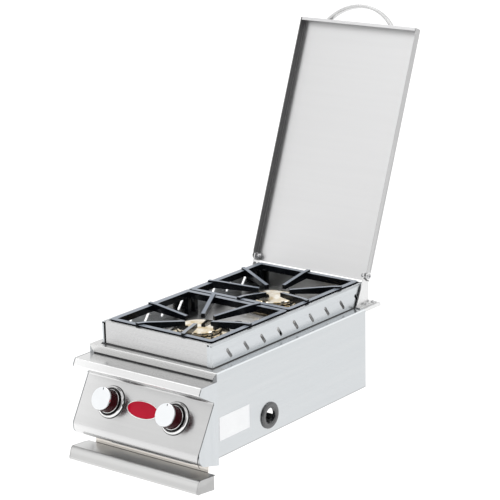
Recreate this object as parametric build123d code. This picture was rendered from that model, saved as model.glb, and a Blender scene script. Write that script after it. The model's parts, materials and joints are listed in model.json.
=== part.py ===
from build123d import *
import math
import os

# Double side burner that drops into a counter cut-out, shown with its lid open.
# Millimetres. X runs across, Y towards the back and Z up. The origin is the middle of the cut-out
# in plan, at counter level, which is the underside of the flange.

# Sheet metal
sheet = 1.5                     # gauge of every folded panel
bend = 2.5                      # outside radius of a folded edge
seam = 0.3                      # gap left at a butted seam

# Raised surround round the burners
surround_width = 295.0
surround_depth = 535.5
surround_height = 49.5
corner_return = 14.0            # fold of a side wall over the end wall, at one of its ends
short_return = 5.8              # fold at its other end, which the end wall stops short of
corner_gap = 4.0                # open joint beside the short fold
corner_notch = 6.0              # relief cut at the top of the long fold
rim_hem = 7.5                   # inward fold along the top edge
rim_bend = 4.0                  # outside radius of that fold
vent_count = 9
vent_length = 27.0
vent_width = 7.6
vent_lean = 52.7                # degrees from level, on the right wall with the top end to the front
vent_height = 19.5              # slot centre above the flange
vent_margin_front = 54.5
vent_margin_rear = 28.5

# Body under the counter
flange_width = 22.5             # counter flange outside the surround, left and right
flange_front = 14.5             # counter flange in front of the surround
rear_overhang = 28.0            # surround past the back of the body
body_height = 180.0
base_flange = 18.0
deck_seat = 15.0                # width of the ledge that carries the burner deck
front_lip_height = 14.0
front_lip_cut = 10.0            # cut corner of the front lip
lip_inset = 1.0                 # front lip and shelf inside the body's width
shelf_reach = 33.0              # rear shelf behind the surround
shelf_lip = 8.0
cross_member_width = 22.0
cross_member_height = 14.0

# Control panel
ledge_reach = 47.6              # ledge in front of the body
ledge_drop = 17.0               # ledge top below counter level
ledge_lip = 16.6                # lip of the ledge, parallel to the face
throat_depth = 54.1             # fold under the ledge, from the lip back to the face
throat_bend = 5.0
face_tilt = 29.3                # degrees of the face's normal above level
face_length = 133.5             # face to its sharp lower corner
face_round = 22.0
panel_bend = 3.0
panel_seam = 0.9                # between the panel and its end caps
bottom_slope = 14.5             # degrees, the underside falls towards the back
panel_end_gap = 15.0            # open slot behind the underside, where the tray front passes

# Knobs and their valves, along the knob's axis
knob_pitch = 171.0
knob_drop = 50.0                # knob axis below the top edge of the face
bezel_radius = 35.0
bezel_bore = 27.5
bezel_height = 8.0
knob_clearance = 2.0            # skirt's back edge to the face, knob pushed in
knob_skirt_radius = 25.5
knob_grip_radius = 24.4
knob_height = 33.0
knob_face_radius = 24.0
knob_face_height = 4.5
knob_face_round = 1.5
knob_wall = 3.0                 # between the stem's end and the face
knob_push = 4.0                 # travel of the push-to-turn knob
stem_radius = 4.0
stem_clearance = 0.05
stem_hole = 6.0
washer_radius = 8.0
washer_height = 2.0
washer_depth = 12.0             # front of the washer behind the face
washer_clearance = 4.0          # washer to the valve, knob pushed in
valve_length = 30.0
valve_radius = 12.0
valve_floor = 3.0               # wall behind the stem's bore
valve_window = 14.4             # clearance round the valve where it passes the bulkhead
stem_engagement = 15.0          # stem inside the valve
valve_stub_radius = 7.0
valve_stub = 17.0
orifice_radius = 5.0
orifice_length = 12.0
orifice_hole = 0.9
igniter_size = 12.0
igniter_length = 30.0
manifold_radius = 9.0
manifold_bore = 7.0
manifold_drop = 26.0
manifold_overrun = 26.0         # pipe past each valve
manifold_end = 3.0              # closed end of the pipe
inlet_block = 24.0
inlet_radius = 10.67            # half-inch taper thread
inlet_length = 25.0
inlet_collar = 14.0
inlet_reach = 22.0
inlet_clearance = 2.0
saddle_width = 18.0
saddle_height = 34.0
saddle_offset = 36.0

# Badge
badge_width = 80.0
badge_height = 34.0
badge_thickness = 1.2
badge_rim = 2.0
badge_rim_height = 2.2

# Burners and deck
dish_radius = 100.0
dish_floor_radius = 73.0
dish_depth = 8.0
dish_wall_inset = 0.5           # underside of the sloping wall inside its top
drain_radius = 9.0
drain_length = 12.0
pot_radius = 44.0
pot_wall = 3.0
pot_depth = 43.0
pot_flange_radius = 58.0
pot_flange = 3.0
pot_clearance = 2.0
tube_radius = 14.0
tube_wall = 2.0
tube_bend = 30.0
tube_mouth = 8.0                # mouth of the mixing tube behind the valve body
tube_lead = 20.0                # straight run before it levels out
ring_radius = 64.0
ring_foot_radius = 52.0
ring_height = 18.5
ring_edge = 5.5
ring_collar_radius = 47.0
ring_collar_height = 4.5
ring_bore = 38.0
port_count = 24
port_width = 2.6
port_height = 3.0
cap_radius = 48.0
cap_height = 7.5
cap_crown = 1.2
electrode_radius = 3.0
electrode_collar = 4.0
electrode_collar_height = 2.0
electrode_offset = 68.0
electrode_height = 19.0
electrode_depth = 25.0
electrode_tip = 6.0
electrode_tip_radius = 1.0
electrode_clearance = 0.1
lead_radius = 1.5
lead_drop = 50.0
lead_approach = 25.0
lead_bend = 10.0

# Grates
grate_side_gap = 10.0
grate_front_gap = 9.5
grate_rear_gap = 1.2
grate_gap = 5.0
rail_width = 12.0
rail_height = 14.0
rail_above_rim = 2.5
rail_corner = 7.0
foot_width = 11.0
finger_width = 8.5
finger_rise = 4.5               # finger above the rail at its outer end
finger_shoulder = 3.5           # finger above the rail where it starts to fall
finger_shoulder_reach = 20.0
finger_tip_drop = 8.2           # tip below the rail's top
finger_tip_height = 9.5
finger_tip_radius = 34.0
finger_offset = 62.0

# Lid and its hinges
lid_overhang = 9.7              # lid past the surround, left and right
lid_front_overhang = 18.0
lid_flange = 18.7
lid_return = 6.8
lid_tail = 11.0                 # plate behind the pivot
lid_tail_flange = 8.0
lid_rise = 9.2                  # top of the plate above the pivot, lid closed
lid_open = 111.0                # degrees from closed
lid_corner = 10.0
lid_bend = 3.0                  # outside radius of the lid's folds
hinge_setback = 2.5             # pivot behind the surround's back
hinge_height = 15.3             # pivot above the surround's rim
bracket_gap = 2.0               # bracket outside the surround
bracket_sheet = 2.5
bracket_front = 40.7
bracket_rear = 8.0
bracket_top_front = 15.8
bracket_foot = 13.0
bracket_foot_rear = 24.0
bracket_screw_front = 9.5       # foot screws before and behind the pivot
bracket_screw_rear = 16.0
pivot_stop = 0.3                # plate to bracket at either end of the swing
pivot_shoulder = 8.0
pivot_radius = 3.0
pivot_clearance = 0.08
pivot_head_radius = 6.0
pivot_head_height = 3.5
pivot_nut_radius = 6.0
pivot_nut_height = 11.0
pivot_nut_round = 3.0
pivot_end_play = 0.25
screw_radius = 2.0
screw_head_radius = 4.2
screw_head_height = 2.4

# Lid handle
handle_half_span = 80.0
handle_rise = 34.5
handle_thickness = 7.0
handle_depth = 14.0
handle_round = 2.4

# Drip tray
tray_clearance = 3.0
tray_width = 216.0
tray_depth = 15.5
tray_length = 312.0
tray_wall = 1.2
tray_rim = 9.0
tray_front_width = 303.0
tray_front_height = 18.6
tray_front_reach = 14.0         # front strip in front of the body
runner_gap = 1.0
runner_play = 0.3
runner_top = 12.0
pull_width = 345.0
pull_reach = 53.0
pull_rise = 4.2
pull_height = 27.5
pull_lean = 9.0                 # foot of the pull's front ahead of its top
pull_round = 8.0
pull_foot = 13.0
pull_foot_round = 5.0
pull_end_drop = 28.0            # end plate below the pull's top, at its back
pull_end_back = 7.0

# Fittings on the right side
grommet_setback = 155.0         # behind the surround's front
grommet_drop = 138.5
grommet_radius = 28.5
grommet_bore = 16.5
grommet_neck = 22.0
grommet_front = 5.0
grommet_back = 3.0
plate_width = 98.0
plate_height = 50.0
plate_thickness = 0.4
plate_setback = 4.0
plate_drop = 119.0

# Places worked out from the sizes above
wall_x = surround_width / 2
half = wall_x + flange_width
inner_half = half - sheet
body_depth = flange_front + surround_depth - rear_overhang
front = -body_depth / 2
rear = body_depth / 2
base = -body_height
floor_level = base + sheet
top = sheet
wall_front = front + flange_front
wall_rear = wall_front + surround_depth
wall_top = top + surround_height
deck_top = top + sheet
dish_top = deck_top - dish_depth
ledge_inner = wall_x - sheet - deck_seat
shelf_start = rear - sheet
shelf_end = wall_rear + shelf_reach
front_ledge = wall_front + sheet + deck_seat


def block(x0, x1, y0, y1, z0, z1):
    size = Box(abs(x1 - x0), abs(y1 - y0), abs(z1 - z0))
    return Pos((x0 + x1) / 2, (y0 + y1) / 2, (z0 + z1) / 2) * size


def rod(radius, start, end):
    axis = Vector(*end) - Vector(*start)
    seat = Plane(origin=start, z_dir=axis)
    return seat * Cylinder(radius, axis.length, align=(Align.CENTER, Align.CENTER, Align.MIN))


def plate_yz(points, x0, x1):
    """Flat plate with its outline in Y and Z."""
    outline = make_face(Polyline(*points, close=True))
    return extrude(Plane.YZ.offset(x0) * outline, amount=x1 - x0)


def plate_xz(points, y0, y1):
    """Flat plate with its outline in X and Z."""
    outline = make_face(Polyline(*points, close=True))
    return extrude(Plane.XZ.offset(-y1) * outline, amount=y1 - y0)


def folded_strip(points, radius, x0, x1):
    """Sheet folded along X. The points are its mid-surface in Y and Z."""
    section = trace(FilletPolyline(*points, radius=radius), sheet)
    return extrude(Plane.YZ.offset(x0) * section, amount=x1 - x0)


def turned(points, centre=(0, 0)):
    """Body of revolution about a vertical axis. The points are radius and height."""
    section = make_face(Polyline(*points, close=True))
    return Pos(centre[0], centre[1], 0) * revolve(Plane.XZ * section, axis=Axis.Z)


def mirrored(shape):
    return mirror(shape, about=Plane.YZ)


nodes = {}


def pair(name, right_shape):
    """Keep a piece of the right side and its mirror image."""
    nodes[f"{name}_right"] = right_shape
    nodes[f"{name}_left"] = mirrored(right_shape)


# Body panels
def side_panel():
    wall = block(inner_half, half, front, rear, base, top)
    wall += block(ledge_inner, inner_half, front, rear, 0, top)
    wall += block(half - base_flange, inner_half, front, rear, base, floor_level)
    top_fold = wall.edges().filter_by(Axis.Y).group_by(Axis.X)[-1].sort_by(Axis.Z)[-1]
    base_fold = wall.edges().filter_by(Axis.Y).group_by(Axis.X)[-1].sort_by(Axis.Z)[0]
    wall = fillet([top_fold, base_fold], radius=bend)
    wall -= block(ledge_inner, inner_half, front, front_ledge, 0, top)
    wall -= block(ledge_inner, half, shelf_start, rear, 0, top)
    return wall


grommet_y = wall_front + grommet_setback
grommet_z = -grommet_drop
nodes["left_side_panel"] = mirrored(side_panel())
grommet_axis = (inner_half - sheet, grommet_y, grommet_z), (half + sheet, grommet_y, grommet_z)
nodes["right_side_panel"] = side_panel() - rod(grommet_neck, *grommet_axis)
nodes["rear_panel"] = block(-inner_half, inner_half, rear - sheet, rear, floor_level, 0)


def rear_shelf():
    edge = half - lip_inset
    shelf = block(-edge, edge, shelf_start, shelf_end, 0, top)
    shelf += block(-edge, edge, shelf_end - sheet, shelf_end, top - shelf_lip, top)
    for side in (-1, 1):
        shelf += block(side * (edge - sheet), side * edge, rear, shelf_end, top - shelf_lip, top)
    fold = shelf.edges().filter_by(Axis.X).group_by(Axis.Z)[-1].sort_by(Axis.Y)[-1]
    return fillet(fold, radius=bend)


nodes["rear_shelf"] = rear_shelf()


def front_flange():
    edge = half - lip_inset
    lip_low = -front_lip_height
    outline = [
        (-edge, top), (edge, top), (edge, 0), (edge - front_lip_cut, lip_low),
        (front_lip_cut - edge, lip_low), (-edge, 0),
    ]
    flange = plate_xz(outline, front - sheet, front)
    flange += block(-inner_half, inner_half, front - sheet, front_ledge, 0, top)
    fold = flange.edges().filter_by(Axis.X).group_by(Axis.Z)[-1].sort_by(Axis.Y)[0]
    return fillet(fold, radius=bend)


nodes["front_flange"] = front_flange()

# Raised surround
vent_pitch = (surround_depth - vent_margin_front - vent_margin_rear) / (vent_count - 1)
rim_low = wall_top - rim_bend - seam
hem_edge = wall_x - sheet - rim_hem
front_inner = wall_front + 2 * sheet
rear_inner = wall_rear - 2 * sheet


def surround_side():
    """Right side wall, with its long fold at the front, its short one at the back and a hem on top."""
    middle = wall_x - sheet / 2
    front_mid, rear_mid, hem_mid = wall_front + sheet / 2, wall_rear - sheet / 2, wall_top - sheet / 2
    plan = [
        (wall_x - corner_return, front_mid), (middle, front_mid), (middle, rear_mid),
        (wall_x - short_return, rear_mid),
    ]
    strip = trace(FilletPolyline(*plan, radius=bend - sheet / 2), sheet)
    wall = extrude(Pos(0, 0, top) * strip, amount=rim_low - top)
    fold = [(middle, rim_low), (middle, hem_mid), (hem_edge, hem_mid)]
    hem = trace(FilletPolyline(*fold, radius=rim_bend - sheet / 2), sheet)
    wall += extrude(Plane.XZ.offset(-wall_rear) * hem, amount=surround_depth)
    notch_end = wall_x - corner_return + corner_notch
    wall += block(notch_end, wall_x - rim_bend, wall_front, wall_front + sheet, rim_low, wall_top - sheet)
    for i in range(vent_count):
        slot_y = wall_front + vent_margin_front + i * vent_pitch
        slot = Rot(Z=180 - vent_lean) * SlotOverall(vent_length, vent_width)
        seat = Plane.YZ.offset(wall_x - 2 * sheet)
        wall -= extrude(seat * Pos(slot_y, top + vent_height) * slot, amount=3 * sheet)
    return wall


def end_wall():
    """Front wall up to the rim. It laps behind the right wall and stops short of the left one."""
    outer = wall_front + sheet
    open_end = short_return + corner_gap - wall_x
    lap_start = wall_x - corner_return
    wall = block(open_end, lap_start, outer, front_inner, top, wall_top)
    return wall + block(lap_start, wall_x - bend - seam, outer, front_inner, top, rim_low - seam)


def turned_about(shape):
    """The same piece used again on the opposite side of the surround."""
    middle = (wall_front + wall_rear) / 2
    return Pos(0, middle, 0) * Rot(Z=180) * Pos(0, -middle, 0) * shape


nodes["surround_side_right"] = surround_side()
nodes["surround_side_left"] = turned_about(surround_side())
hem_end = front_inner + rim_hem
hem_half = hem_edge - seam
surround_front = end_wall()
surround_front += block(-hem_half, hem_half, wall_front + sheet, hem_end, wall_top - sheet, wall_top)
front_fold = surround_front.edges().filter_by(Axis.X).group_by(Axis.Z)[-1].sort_by(Axis.Y)[0]
nodes["surround_front"] = fillet(front_fold, radius=sheet)
nodes["surround_rear"] = turned_about(end_wall())

# Control panel, as its mid-surface from the body to the slot behind the underside
tilt = math.radians(face_tilt)
slope = math.radians(bottom_slope)
face_down = Vector(0, -math.sin(tilt), -math.cos(tilt))
face_normal = Vector(0, -math.cos(tilt), math.sin(tilt))
ledge_mid = -ledge_drop - sheet / 2
lip_mid = front - ledge_reach + sheet / 2
lip_low = Vector(0, lip_mid, ledge_mid) + face_down * ledge_lip
face_top = lip_low - face_normal * throat_depth
face_corner = face_top + face_down * face_length
underside_end = front - panel_end_gap
underside_run = (underside_end - face_corner.Y) / math.cos(slope)
underside_back = Vector(0, underside_end, face_corner.Z - underside_run * math.sin(slope))
panel_path = [
    (front, ledge_mid),
    (lip_mid, ledge_mid),
    (lip_low.Y, lip_low.Z),
    (face_top.Y, face_top.Z),
    (face_corner.Y, face_corner.Z),
    (underside_back.Y, underside_back.Z),
]
panel_radii = [panel_bend, panel_bend, throat_bend, face_round]
panel_low = underside_back.Z - sheet / 2 / math.cos(slope)
panel_half = half - sheet - panel_seam

# Face plane: X across, local Y up the face and local Z out of it, at the middle of the knob row
knob_row = face_top + face_down * knob_drop + face_normal * (sheet / 2)
face_plane = Plane(origin=knob_row, x_dir=(1, 0, 0), z_dir=face_normal)
knob_x = knob_pitch / 2


def on_face(x, up, out):
    """Point given across, up and out of the panel's face."""
    return face_plane.from_local_coords(Vector(x, up, out))


def face_rod(radius, x, out_low, out_high, up=0.0):
    return rod(radius, on_face(x, up, out_low), on_face(x, up, out_high))


control_panel = folded_strip(panel_path, panel_radii, -panel_half, panel_half)
for side in (-1, 1):
    control_panel -= face_rod(stem_hole, side * knob_x, -2 * sheet, sheet)
nodes["control_panel"] = control_panel


def panel_end():
    path = FilletPolyline(*panel_path, radius=panel_radii)
    low = (front, underside_back.Z - panel_end_gap * math.tan(slope))
    closing = Polyline(panel_path[-1], low, panel_path[0])
    outline = offset(make_face([path, closing]), amount=sheet / 2)
    end = extrude(Plane.YZ.offset(half - sheet) * outline, amount=sheet)
    return end - block(half - 2 * sheet, half + sheet, front, front + 2 * sheet, 2 * panel_low, top)


pair("panel_end", panel_end())

# Gas train behind the panel
valve_front = washer_depth + washer_height + knob_push + washer_clearance
valve_middle = valve_front + valve_length / 2
valve_back = valve_front + valve_length
stem_end = valve_front + stem_engagement
stem_bore = stem_radius + stem_clearance
manifold = on_face(0, -manifold_drop, -valve_middle)
manifold_half = knob_x + manifold_overrun
inlet_x = manifold_half + inlet_block / 2


def front_bulkhead():
    wall = block(-inner_half, inner_half, front, front + sheet, floor_level, 0)
    flange_top = floor_level + sheet
    wall += block(-inner_half, inner_half, front + sheet, front + base_flange, floor_level, flange_top)
    crossing = (front - knob_row.Y) / -face_normal.Y
    valve_level = knob_row.Z - crossing * face_normal.Z
    window = valve_radius + valve_window
    for side in (-1, 1):
        x = side * knob_x
        wall -= block(x - window, x + window, front - sheet, front + 2 * sheet, valve_level - window,
                      valve_level + igniter_size + window)
    inlet_axis = (inlet_x, front - sheet, manifold.Z), (inlet_x, front + 2 * sheet, manifold.Z)
    return wall - rod(inlet_collar + inlet_clearance, *inlet_axis)


nodes["front_bulkhead"] = front_bulkhead()


def valve(x):
    body = face_rod(valve_radius, x, -valve_back, -valve_front)
    body += rod(valve_stub_radius, on_face(x, 0, -valve_middle), on_face(x, -valve_stub, -valve_middle))
    pad_size = igniter_size, valve_radius + sheet, valve_length
    pad = Box(*pad_size, align=(Align.CENTER, Align.MIN, Align.MIN))
    body += face_plane.location * Pos(x, 0, -valve_back) * pad
    return body - face_rod(stem_bore, x, valve_floor - valve_back, 0)


def igniter(x):
    case = Box(igniter_size, igniter_size, igniter_length, align=(Align.CENTER, Align.MIN, Align.MIN))
    return face_plane.location * Pos(x, valve_radius + sheet, -valve_back) * case


def orifice(x):
    spud = face_rod(orifice_radius, x, -valve_back - orifice_length, -valve_back)
    return spud - face_rod(orifice_hole, x, -valve_back - orifice_length, -valve_back)


for name, side in (("left", -1), ("right", 1)):
    nodes[f"valve_{name}"] = valve(side * knob_x)
nodes["igniters"] = igniter(-knob_x) + igniter(knob_x)
nodes["orifices"] = orifice(-knob_x) + orifice(knob_x)


def manifold_at(x):
    return Vector(x, manifold.Y, manifold.Z)


def manifold_pipe():
    pipe = rod(manifold_radius, manifold_at(-manifold_half), manifold_at(manifold_half))
    for side in (-1, 1):
        x = side * knob_x
        pipe += rod(valve_stub_radius, manifold_at(x), on_face(x, -valve_stub, -valve_middle))
    return pipe - rod(manifold_bore, manifold_at(manifold_end - manifold_half), manifold_at(manifold_half))


nodes["manifold_pipe"] = manifold_pipe()


def gas_inlet():
    half_block = inlet_block / 2
    fitting = block(manifold_half, manifold_half + inlet_block, manifold.Y - half_block, front - seam,
                    manifold.Z - half_block, manifold.Z + half_block)
    elbow = manifold_at(inlet_x)
    collar_start = (inlet_x, front - seam, manifold.Z)
    collar_end = (inlet_x, front + inlet_reach, manifold.Z)
    thread_end = (inlet_x, front + inlet_reach + inlet_length, manifold.Z)
    fitting += rod(inlet_collar, collar_start, collar_end) + rod(inlet_radius, collar_end, thread_end)
    fitting -= rod(manifold_bore, elbow, thread_end)
    return fitting - rod(manifold_bore, manifold_at(manifold_half), elbow)


nodes["gas_inlet"] = gas_inlet()


def manifold_saddle(x):
    low = manifold.Z - saddle_height / 2
    saddle = block(x - saddle_width / 2, x + saddle_width / 2, manifold.Y, front, low, low + saddle_height)
    ends = manifold_at(x - saddle_width), manifold_at(x + saddle_width)
    return saddle - rod(manifold_radius, *ends)


nodes["manifold_brackets"] = manifold_saddle(-saddle_offset) + manifold_saddle(saddle_offset)

# Knobs, each pushed in against its spring and then turned
knob_lift = knob_push + knob_clearance
skirt_top = knob_lift + bezel_height
stem_top = knob_height - knob_wall
for name, side in (("left", -1), ("right", 1)):
    x = side * knob_x
    ring = face_rod(bezel_radius, x, 0, bezel_height)
    rim = ring.edges().filter_by(GeomType.CIRCLE).sort_by(Axis(knob_row, face_normal))[-1]
    ring = fillet(rim, radius=bend)
    nodes[f"knob_bezel_{name}"] = ring - face_rod(bezel_bore, x, -sheet, bezel_height + sheet)
    skirt = face_rod(knob_skirt_radius, x, knob_lift, skirt_top)
    skirt += face_rod(knob_grip_radius, x, skirt_top, knob_height)
    nodes[f"knob_skirt_{name}"] = skirt - face_rod(stem_bore, x, 0, stem_top)
    disc = face_rod(knob_face_radius, x, knob_height, knob_height + knob_face_height)
    edge = disc.edges().filter_by(GeomType.CIRCLE).sort_by(Axis(knob_row, face_normal))[-1]
    nodes[f"knob_face_{name}"] = fillet(edge, radius=knob_face_round)
    nodes[f"valve_stem_{name}"] = face_rod(stem_radius, x, -stem_end, stem_top)
    washer = face_rod(washer_radius, x, -washer_depth - washer_height, -washer_depth)
    nodes[f"push_washer_{name}"] = washer - face_rod(stem_bore, x, -washer_depth - washer_height, 0)

# Badge with a blank plate
badge_seat = face_plane.location
badge_oval = Ellipse(badge_width / 2, badge_height / 2)
badge_outer = Ellipse(badge_width / 2 + badge_rim, badge_height / 2 + badge_rim)
nodes["badge_plate"] = extrude(badge_seat * badge_oval, amount=badge_thickness)
nodes["badge_rim"] = extrude(badge_seat * (badge_outer - badge_oval), amount=badge_rim_height)

# Burners: the front one is fed by the left valve, the rear one by the right valve
grate_half = wall_x - sheet - grate_side_gap
grate_depth = (rear_inner - front_inner - grate_front_gap - grate_rear_gap - grate_gap) / 2
front_centre = front_inner + grate_front_gap + grate_depth / 2
rear_centre = front_centre + grate_depth + grate_gap
drain_y = (front_centre + rear_centre) / 2
pot_top = dish_top + pot_flange
pot_floor = dish_top - pot_depth
electrode_side = electrode_offset / math.sqrt(2)


def burner_deck():
    deck = block(sheet - wall_x, wall_x - sheet, front_inner, rear_inner, top, deck_top)
    pot_hole = pot_radius + pot_clearance
    dish = [
        (dish_radius, deck_top), (dish_floor_radius, dish_top), (pot_hole, dish_top),
        (pot_hole, dish_top - sheet), (dish_floor_radius - dish_wall_inset, dish_top - sheet),
        (dish_radius - dish_wall_inset, top), (dish_radius, top),
    ]
    hole = electrode_radius + electrode_clearance
    for y in (front_centre, rear_centre):
        deck -= rod(dish_radius, (0, y, top - sheet), (0, y, deck_top + sheet))
        deck += turned(dish, (0, y))
        spot = (electrode_side, y - electrode_side)
        deck -= rod(hole, (*spot, dish_top - 2 * sheet), (*spot, dish_top + sheet))
    drain_low = deck_top - drain_length
    deck += rod(drain_radius + sheet, (0, drain_y, drain_low), (0, drain_y, deck_top))
    return deck - rod(drain_radius, (0, drain_y, drain_low - sheet), (0, drain_y, deck_top + sheet))


nodes["burner_deck"] = burner_deck()


def burner_body(x, y):
    bore = tube_radius - tube_wall
    pot = turned([
        (bore, pot_floor), (pot_radius, pot_floor), (pot_radius, dish_top), (pot_flange_radius, dish_top),
        (pot_flange_radius, pot_top), (pot_radius - pot_wall, pot_top),
        (pot_radius - pot_wall, pot_floor + pot_wall), (bore, pot_floor + pot_wall),
    ], (0, y))
    mouth = on_face(x, 0, -valve_back - tube_mouth)
    level = on_face(x, 0, -valve_back - tube_mouth - tube_lead)
    corners = [
        mouth, level, Vector(x, y, level.Z), Vector(0, y, level.Z), Vector(0, y, pot_floor),
    ]
    route = FilletPolyline(*corners, radius=tube_bend)
    section = Circle(tube_radius) - Circle(bore)
    return pot + sweep(Plane(origin=route @ 0, z_dir=route % 0) * section, path=route)


def burner_ring(y):
    collar = pot_top + ring_height + ring_collar_height
    ring = turned([
        (ring_bore, pot_top), (ring_foot_radius, pot_top), (ring_radius, pot_top + ring_height - ring_edge),
        (ring_radius, pot_top + ring_height), (ring_collar_radius, pot_top + ring_height),
        (ring_collar_radius, collar), (ring_bore, collar),
    ], (0, y))
    for i in range(port_count):
        port = Box(ring_collar_radius, port_width, port_height, align=(Align.MIN, Align.CENTER, Align.MAX))
        ring -= Pos(0, y, collar) * Rot(Z=360 * i / port_count) * Pos(ring_bore - sheet, 0, 0) * port
    return ring


def burner_cap(y):
    low = pot_top + ring_height + ring_collar_height
    return turned([
        (0, low), (cap_radius - sheet, low), (cap_radius, low + sheet),
        (cap_radius, low + cap_height - sheet), (cap_radius - sheet, low + cap_height),
        (0, low + cap_height + cap_crown),
    ], (0, y))


def electrode(y):
    spot = (electrode_side, y - electrode_side)
    rod_top = dish_top + electrode_height
    body = rod(electrode_radius, (*spot, dish_top - electrode_depth), (*spot, rod_top))
    body += rod(electrode_collar, (*spot, dish_top), (*spot, dish_top + electrode_collar_height))
    return body + rod(electrode_tip_radius, (*spot, rod_top), (*spot, rod_top + electrode_tip))


def igniter_lead(x, y):
    """Insulated wire from a burner's electrode to the igniter on its valve."""
    start = Vector(electrode_side, y - electrode_side, dish_top - electrode_depth)
    low = start - Vector(0, 0, lead_drop)
    end_up = valve_radius + sheet + igniter_size / 2
    end = on_face(x, end_up, -valve_back)
    approach = on_face(x, end_up, -valve_back - lead_approach)
    route = FilletPolyline(start, low, approach, end, radius=lead_bend)
    return sweep(Plane(origin=route @ 0, z_dir=route % 0) * Circle(lead_radius), path=route)


burners = {"front": (-knob_x, front_centre), "rear": (knob_x, rear_centre)}
for name, (x, y) in burners.items():
    nodes[f"{name}_burner_body"] = burner_body(x, y)
    nodes[f"{name}_burner_ring"] = burner_ring(y)
    nodes[f"{name}_burner_cap"] = burner_cap(y)
nodes["electrodes"] = electrode(front_centre) + electrode(rear_centre)
nodes["igniter_leads"] = igniter_lead(-knob_x, front_centre) + igniter_lead(knob_x, rear_centre)

# Cast grates
rail_top = wall_top + rail_above_rim
rail_low = rail_top - rail_height


def grate_finger(start, centre):
    """Wedge that runs from a rail towards the middle of the burner and falls to a blunt tip."""
    run = Vector(centre[0] - start[0], centre[1] - start[1], 0)
    length = run.length - finger_tip_radius
    tip_top = rail_top - finger_tip_drop
    outline = make_face(Polyline(
        (0, rail_low + sheet), (0, rail_top + finger_rise),
        (finger_shoulder_reach, rail_top + finger_shoulder), (length, tip_top),
        (length, tip_top - finger_tip_height), (rail_width, rail_low + sheet), close=True))
    seat = Plane(origin=(start[0], start[1], 0), x_dir=run, z_dir=run.cross(Vector(0, 0, 1)))
    return extrude(seat * outline, amount=finger_width / 2, both=True)


def grate(centre_y, long_fingers):
    across, along = grate_half, grate_depth / 2
    outer = RectangleRounded(2 * across, 2 * along, rail_corner)
    inner_size = 2 * (across - rail_width), 2 * (along - rail_width)
    inner = RectangleRounded(*inner_size, rail_corner - rail_width / 2)
    frame = extrude(Pos(0, centre_y, rail_low) * (outer - inner), amount=rail_height)
    inset = rail_corner / 2 + foot_width / 2
    for sx in (-1, 1):
        for sy in (-1, 1):
            x = sx * (across - rail_width / 2)
            y = centre_y + sy * (along - inset)
            foot = Box(foot_width, foot_width, rail_low - deck_top)
            frame += Pos(x, y, (deck_top + rail_low) / 2) * foot
    centre = (0, centre_y)
    if long_fingers == "sides":
        starts = [(-across, centre_y), (across, centre_y)]
        starts += [(sx * finger_offset, centre_y + sy * along) for sx in (-1, 1) for sy in (-1, 1)]
    else:
        starts = [(0, centre_y - along), (0, centre_y + along)]
        starts += [(sx * across, centre_y + sy * finger_offset) for sx in (-1, 1) for sy in (-1, 1)]
    envelope = extrude(Pos(0, centre_y, deck_top) * outer, amount=rail_top + finger_rise)
    for start in starts:
        frame += grate_finger(start, centre) & envelope
    return frame


nodes["front_grate"] = grate(front_centre, "sides")
nodes["rear_grate"] = grate(rear_centre, "ends")

# Hinge brackets, and the lid drawn closed and then swung open about its pivots
pivot_y = wall_rear + hinge_setback
pivot_z = wall_top + hinge_height
bracket_x = wall_x + bracket_gap
bracket_outer = bracket_x + bracket_sheet
lid_half = wall_x + lid_overhang
lid_inner = lid_half - sheet
plate_low = pivot_z + lid_rise - sheet
lid_front = wall_front - lid_front_overhang
neck = lid_rise - sheet - pivot_stop
lean = math.radians(180 - lid_open)


def along_lid(up, out):
    """Point in Y and Z from the pivot, up along the open lid and out of its back."""
    y = pivot_y + up * math.cos(lean) + out * math.sin(lean)
    z = pivot_z + up * math.sin(lean) - out * math.cos(lean)
    return y, z


def on_pivot(x):
    return Vector(x, pivot_y, pivot_z)


def hinge_bracket():
    shoulder = lid_tail + pivot_stop
    behind = along_lid(-shoulder, neck)
    shoulder_rear = pivot_y + bracket_rear
    shoulder_z = behind[1] - (shoulder_rear - behind[0]) / math.tan(lean)
    outline = [
        (pivot_y - bracket_front, top), (shoulder_rear, top), (shoulder_rear, shoulder_z), behind,
        along_lid(0, neck), (pivot_y, pivot_z + neck), (pivot_y - pivot_shoulder, pivot_z + neck),
        (pivot_y - bracket_top_front, behind[1]),
    ]
    bracket = plate_yz(outline, bracket_x, bracket_outer)
    foot_outer = bracket_outer + bracket_foot - bracket_sheet
    bracket += block(bracket_outer, foot_outer, pivot_y - bracket_front, pivot_y + bracket_foot_rear,
                     top, top + bracket_sheet)
    for y in bracket_screw_rows:
        x = bracket_screw_x
        bracket -= rod(screw_radius, (x, y, top), (x, y, top + 2 * bracket_sheet))
    return bracket - rod(pivot_radius + pivot_clearance, on_pivot(wall_x), on_pivot(lid_half))


bracket_screw_x = bracket_outer + (bracket_foot - bracket_sheet) / 2
bracket_screw_rows = (pivot_y - bracket_screw_front, pivot_y + bracket_screw_rear)


def bracket_screw(side, y):
    x = side * bracket_screw_x
    seat = top + bracket_sheet
    head = rod(screw_head_radius, (x, y, seat), (x, y, seat + screw_head_height))
    head = fillet(head.edges().sort_by(Axis.Z)[-1], radius=screw_head_height / 2)
    return head + rod(screw_radius, (x, y, top), (x, y, seat))


pair("hinge_bracket", hinge_bracket())
screws = [bracket_screw(side, y).solid() for side in (-1, 1) for y in bracket_screw_rows]
nodes["bracket_screws"] = Compound(screws)


def swing_open(shape):
    return Pos(0, pivot_y, pivot_z) * Rot(X=-lid_open) * Pos(0, -pivot_y, -pivot_z) * shape


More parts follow.
